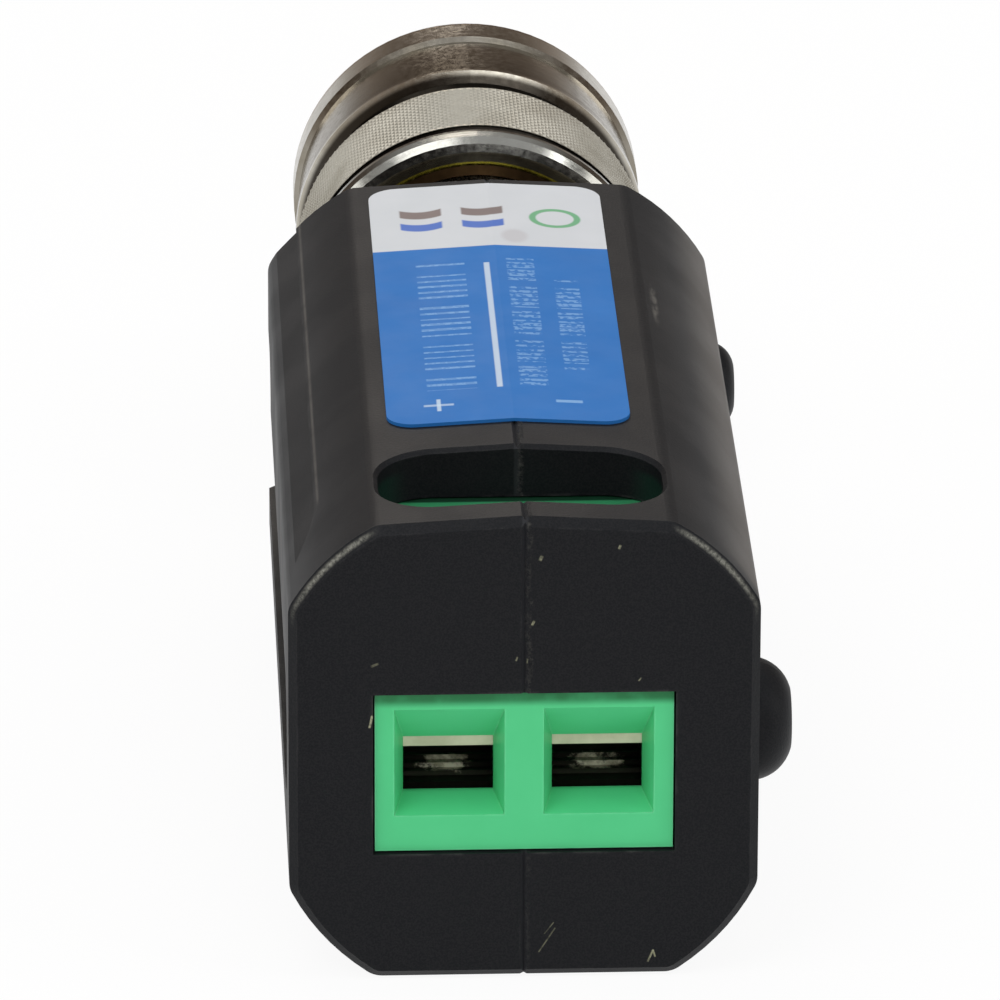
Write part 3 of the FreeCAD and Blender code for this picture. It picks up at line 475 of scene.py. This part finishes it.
def circuit_green():
    """Board under green solder mask with tracks, and bare laminate on its cut edges."""
    p = Paint("circuit_green", Specular_IOR_Level=0.5)
    (z,) = p.axes("z")
    brick = {"Vector": p.place, "Scale": 260.0, "Mortar Size": 0.06}
    tracks = p.node("ShaderNodeTexBrick", brick).outputs["Fac"]
    tone = p.mix(tracks, rgb(18, 82, 44), rgb(34, 112, 62))
    thickness = p.inside(z, 3.2, 4.66, 0.03)
    tone = p.mix(p.math("MULTIPLY", thickness, p.edges(0.1 * MM, 0.0, 0.1)), tone, rgb(150, 150, 96))
    p.set("Base Color", tone)
    p.set("Roughness", p.fade(p.noise(900.0), 0.3, 0.7, 0.28, 0.42))
    p.bump(tracks, 0.02 * MM, 0.6)
    return p.material


def stone(name, dark, light, roughness, grain=2600.0, depth=0.01):
    """Dull pressed or moulded material with a mottled surface."""
    p = Paint(name)
    speckle = p.noise(grain, 6.0, 0.7)
    p.set("Base Color", p.mix(p.fade(speckle, 0.35, 0.65), dark, light))
    p.set("Roughness", p.fade(speckle, 0.3, 0.7, roughness - 0.06, roughness + 0.06))
    p.bump(speckle, depth * MM, 0.6)
    return p.material


def enamel_wire(name, dark, light):
    """Copper wire under a clear or coloured enamel."""
    p = Paint(name, Specular_IOR_Level=0.6, Coat_Weight=0.6, Coat_Roughness=0.12, Metallic=0.4)
    cloud = p.noise(1400.0, 4.0)
    p.set("Base Color", p.mix(cloud, dark, light))
    p.set("Roughness", p.fade(cloud, 0.3, 0.7, 0.22, 0.34))
    p.bump(p.noise(4000.0, 2.0), 0.006 * MM, 0.5)
    return p.material


def chip_part(name, dark, light, middle_x, half_body):
    """A pair of ceramic bodies at plus and minus middle_x, tinned beyond half_body to each side."""
    p = Paint(name, Specular_IOR_Level=0.4)
    (x,) = p.axes("x")
    speckle = p.noise(5000.0, 4.0)
    off_middle = p.math("ABSOLUTE", p.math("SUBTRACT", p.math("ABSOLUTE", x), middle_x))
    cap = p.fade(off_middle, half_body - 0.03, half_body + 0.03)
    p.set("Base Color", p.mix(cap, p.mix(speckle, dark, light), rgb(190, 188, 180)))
    p.set("Metallic", cap)
    p.set("Roughness", p.fade(cap, 0.0, 1.0, 0.5, 0.3))
    p.bump(speckle, 0.005 * MM, 0.5)
    return p.material


# Materials on the nodes

def finish(nodes, material):
    for name in nodes:
        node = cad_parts[name]
        node.data.materials.clear()
        node.data.materials.append(material)


def dress_nodes():
    """Gives each node of the part its material."""
    tin = metal("tinned_brass", rgb(190, 196, 166), rgb(172, 178, 148), 0.34, 0.48,
                grain=2200.0, metallic=0.6)
    zinc = metal("zinc_steel", rgb(176, 178, 160), rgb(120, 118, 96), 0.26, 0.44, (9000.0, 500.0, 900.0))
    spring = metal("spring_steel", rgb(170, 172, 174), rgb(120, 122, 126), 0.22, 0.34, (600.0, 9000.0, 600.0))
    bronze = metal("ring_bronze", rgb(84, 66, 46), rgb(54, 42, 30), 0.32, 0.44, (600.0, 9000.0, 600.0))
    gold = metal("gold_plate", rgb(226, 186, 96), rgb(206, 164, 80), 0.14, 0.24, (500.0, 12000.0, 500.0))
    finish(["housing_left", "housing_right"], moulded_black())
    finish(["label"], printed_label())
    finish(["terminal_body"], green_moulding())
    finish(["contact_bar_left", "contact_bar_right", "signal_lead", "ground_tab"], tin.material)
    finish(["clamp_cage_left", "clamp_cage_right"], clamp_steel())
    finish(["terminal_screw_left", "terminal_screw_right"], zinc.material)
    finish(["circuit_board"], circuit_green())
    finish(["ferrite_core"], stone("ferrite", rgb(34, 34, 36), rgb(66, 64, 64), 0.62))
    finish(["primary_winding"], enamel_wire("enamel_red", rgb(120, 26, 18), rgb(164, 44, 28)))
    finish(["secondary_winding"], enamel_wire("enamel_copper", rgb(168, 88, 44), rgb(206, 124, 70)))
    finish(["chip_resistors"], chip_part("chip_dark", rgb(16, 16, 18), rgb(34, 34, 36), 1.3, 0.65))
    finish(["chip_capacitors"], chip_part("chip_tan", rgb(150, 118, 80), rgb(186, 150, 106), 2.6, 0.65))
    finish(["surge_guard"], stone("guard_black", rgb(20, 20, 22), rgb(40, 40, 42), 0.5, 4000.0, 0.006))
    finish(["plug_body", "outer_contact"], plug_nickel())
    finish(["coupling_nut"], nut_nickel())
    finish(["insulator"], stone("white_plastic", rgb(214, 212, 204), rgb(228, 226, 220), 0.42, 1200.0, 0.004))
    finish(["centre_pin"], gold.material)
    finish(["gasket"], stone("seal_rubber", rgb(22, 22, 22), rgb(44, 42, 40), 0.66, 3400.0, 0.008))
    finish(["wave_washer", "thrust_washer"], spring.material)
    finish(["retaining_ring"], bronze.material)


# Diamond knurl on the coupling nut

def circle(radius, y, count):
    """Points evenly round the nut's axis, the first at its top."""
    turns = [math.tau * index / count for index in range(count)]
    return [(radius * math.sin(turn), y, PLUG_Z + radius * math.cos(turn)) for turn in turns]


def add_knurl():
    """Sleeve of small pyramids round the nut's grip."""
    around = 140
    valley = 6.605 * MM
    crest = 6.665 * MM
    inner = valley - 0.03 * MM
    start = NUT_BACK + KNURL_START
    end = start + KNURL_LENGTH
    rows = round(KNURL_LENGTH / (math.tau * valley / around)) * 2
    columns = around * 2
    points = []
    for row in range(rows + 1):
        y = start + KNURL_LENGTH * row / rows
        low = circle(valley, y, columns)
        high = circle(crest, y, columns)
        for column in range(columns):
            peak = (row + column) % 2 == 1 and 0 < row < rows
            points.append(high[column] if peak else low[column])
    faces = []
    for row in range(rows):
        for column in range(columns):
            ahead = (column + 1) % columns
            a, b = row * columns + column, row * columns + ahead
            c, d = b + columns, a + columns
            if (row + column) % 2 == 0:
                faces += [(a, b, c), (a, c, d)]
            else:
                faces += [(a, b, d), (b, c, d)]

    # Inside of the sleeve and its two narrow ends
    base = len(points)
    last = rows * columns
    points += circle(inner, start, columns) + circle(inner, end, columns)
    for column in range(columns):
        ahead = (column + 1) % columns
        faces.append((column, base + column, base + ahead, ahead))
        faces.append((last + column, last + ahead, base + columns + ahead, base + columns + column))
        faces.append((base + column, base + columns + column, base + columns + ahead, base + ahead))
    mesh = bpy.data.meshes.new("nut_knurl")
    mesh.from_pydata(points, [], faces)
    mesh.validate()
    plate = metal("knurl_plate", rgb(186, 183, 172), rgb(166, 162, 150), 0.42, 0.56, metallic=0.8)
    mesh.materials.append(plate.material)
    knurl = bpy.data.objects.new("nut_knurl", mesh)
    bpy.context.scene.collection.objects.link(knurl)
    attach(knurl, "nut")


# Floor, surroundings and lamps

def add_floor():
    """Pale floor, nearly white where it is seen or mirrored, which keeps a faint shadow."""
    half = 4.0
    drop = 0.03 * MM
    white_share = 0.92
    corners = [(-half, -half, 0), (half, -half, 0), (half, half, 0), (-half, half, 0)]
    mesh = bpy.data.meshes.new("floor")
    mesh.from_pydata(corners, [], [(0, 1, 2, 3)])
    floor = bpy.data.objects.new("floor", mesh)
    floor.location.z = -drop
    bpy.context.scene.collection.objects.link(floor)
    material = bpy.data.materials.new("floor")
    material.use_nodes = True
    tree = material.node_tree
    tree.nodes.clear()
    diffuse = tree.nodes.new("ShaderNodeBsdfDiffuse")
    diffuse.inputs["Color"].default_value = (0.86, 0.86, 0.86, 1)
    white = tree.nodes.new("ShaderNodeEmission")
    white.inputs["Strength"].default_value = 1.0
    rays = tree.nodes.new("ShaderNodeLightPath").outputs
    seen = rays["Is Camera Ray"]
    for kind in ("Is Glossy Ray", "Is Transmission Ray"):
        either = tree.nodes.new("ShaderNodeMath")
        either.operation = "MAXIMUM"
        tree.links.new(seen, either.inputs[0])
        tree.links.new(rays[kind], either.inputs[1])
        seen = either.outputs[0]
    share = tree.nodes.new("ShaderNodeMath")
    share.operation = "MULTIPLY"
    share.inputs[1].default_value = white_share
    blend = tree.nodes.new("ShaderNodeMixShader")
    output = tree.nodes.new("ShaderNodeOutputMaterial")
    tree.links.new(seen, share.inputs[0])
    tree.links.new(share.outputs[0], blend.inputs["Fac"])
    tree.links.new(diffuse.outputs[0], blend.inputs[1])
    tree.links.new(white.outputs[0], blend.inputs[2])
    tree.links.new(blend.outputs[0], output.inputs["Surface"])
    mesh.materials.append(material)


# Brightness of the surroundings by the sine of the height above the horizon
SKY_BANDS = (
    (0.03, (0.62, 0.59, 0.56, 1)),
    (0.12, (0.40, 0.34, 0.29, 1)),
    (0.28, (0.14, 0.105, 0.08, 1)),
    (0.46, (0.15, 0.12, 0.10, 1)),
    (0.62, (0.50, 0.49, 0.48, 1)),
    (0.85, (0.90, 0.91, 0.93, 1)),
)


def add_world():
    """Soft surroundings: pale at the horizon, a dim warm band above it, and pale overhead."""
    world = bpy.data.worlds.new("studio")
    bpy.context.scene.world = world
    world.use_nodes = True
    tree = world.node_tree
    place = tree.nodes.new("ShaderNodeTexCoord")
    split = tree.nodes.new("ShaderNodeSeparateXYZ")
    ramp = tree.nodes.new("ShaderNodeValToRGB")
    steps = ramp.color_ramp.elements
    while len(steps) < len(SKY_BANDS):
        steps.new(1.0)
    for step, (height, colour) in zip(steps, SKY_BANDS):
        step.position = height
        step.color = colour
    tree.links.new(place.outputs["Generated"], split.inputs[0])
    tree.links.new(split.outputs["Z"], ramp.inputs["Fac"])
    tree.links.new(ramp.outputs["Color"], tree.nodes["Background"].inputs["Color"])


# Lamps: name, place, size, power in watts and colour
LAMPS = (
    ("key", (-0.30, -0.35, 0.75), 0.45, 1.75, (1, 1, 1)),
    ("front", (0.15, -0.75, 0.40), 0.45, 1.4, (0.96, 0.98, 1.0)),
    ("left", (-0.75, -0.10, 0.34), 0.36, 1.1, (1, 1, 1)),
    ("right", (0.75, -0.10, 0.34), 0.36, 1.1, (1, 1, 1)),
    ("rear", (-0.06, 0.64, 0.50), 0.34, 1.3, (1.0, 0.92, 0.84)),
    ("glint", (0.52, -0.27, 0.62), 0.12, 0.4, (1, 1, 1)),
)


def add_lamp(name, place, size, power, colour):
    """Round area lamp that shines on the part's middle."""
    target = Vector((0, 0, 0.01))
    data = bpy.data.lights.new(name, "AREA")
    data.shape = "DISK"
    data.size = size
    data.energy = power
    data.color = colour
    lamp = bpy.data.objects.new(name, data)
    lamp.location = place
    lamp.rotation_mode = "QUATERNION"
    lamp.rotation_quaternion = (target - Vector(place)).to_track_quat("-Z", "Y")
    bpy.context.scene.collection.objects.link(lamp)


bpy.context.scene.view_settings.view_transform = "Standard"
add_camera()
dress_nodes()
add_knurl()
add_floor()
add_world()
for lamp in LAMPS:
    add_lamp(*lamp)
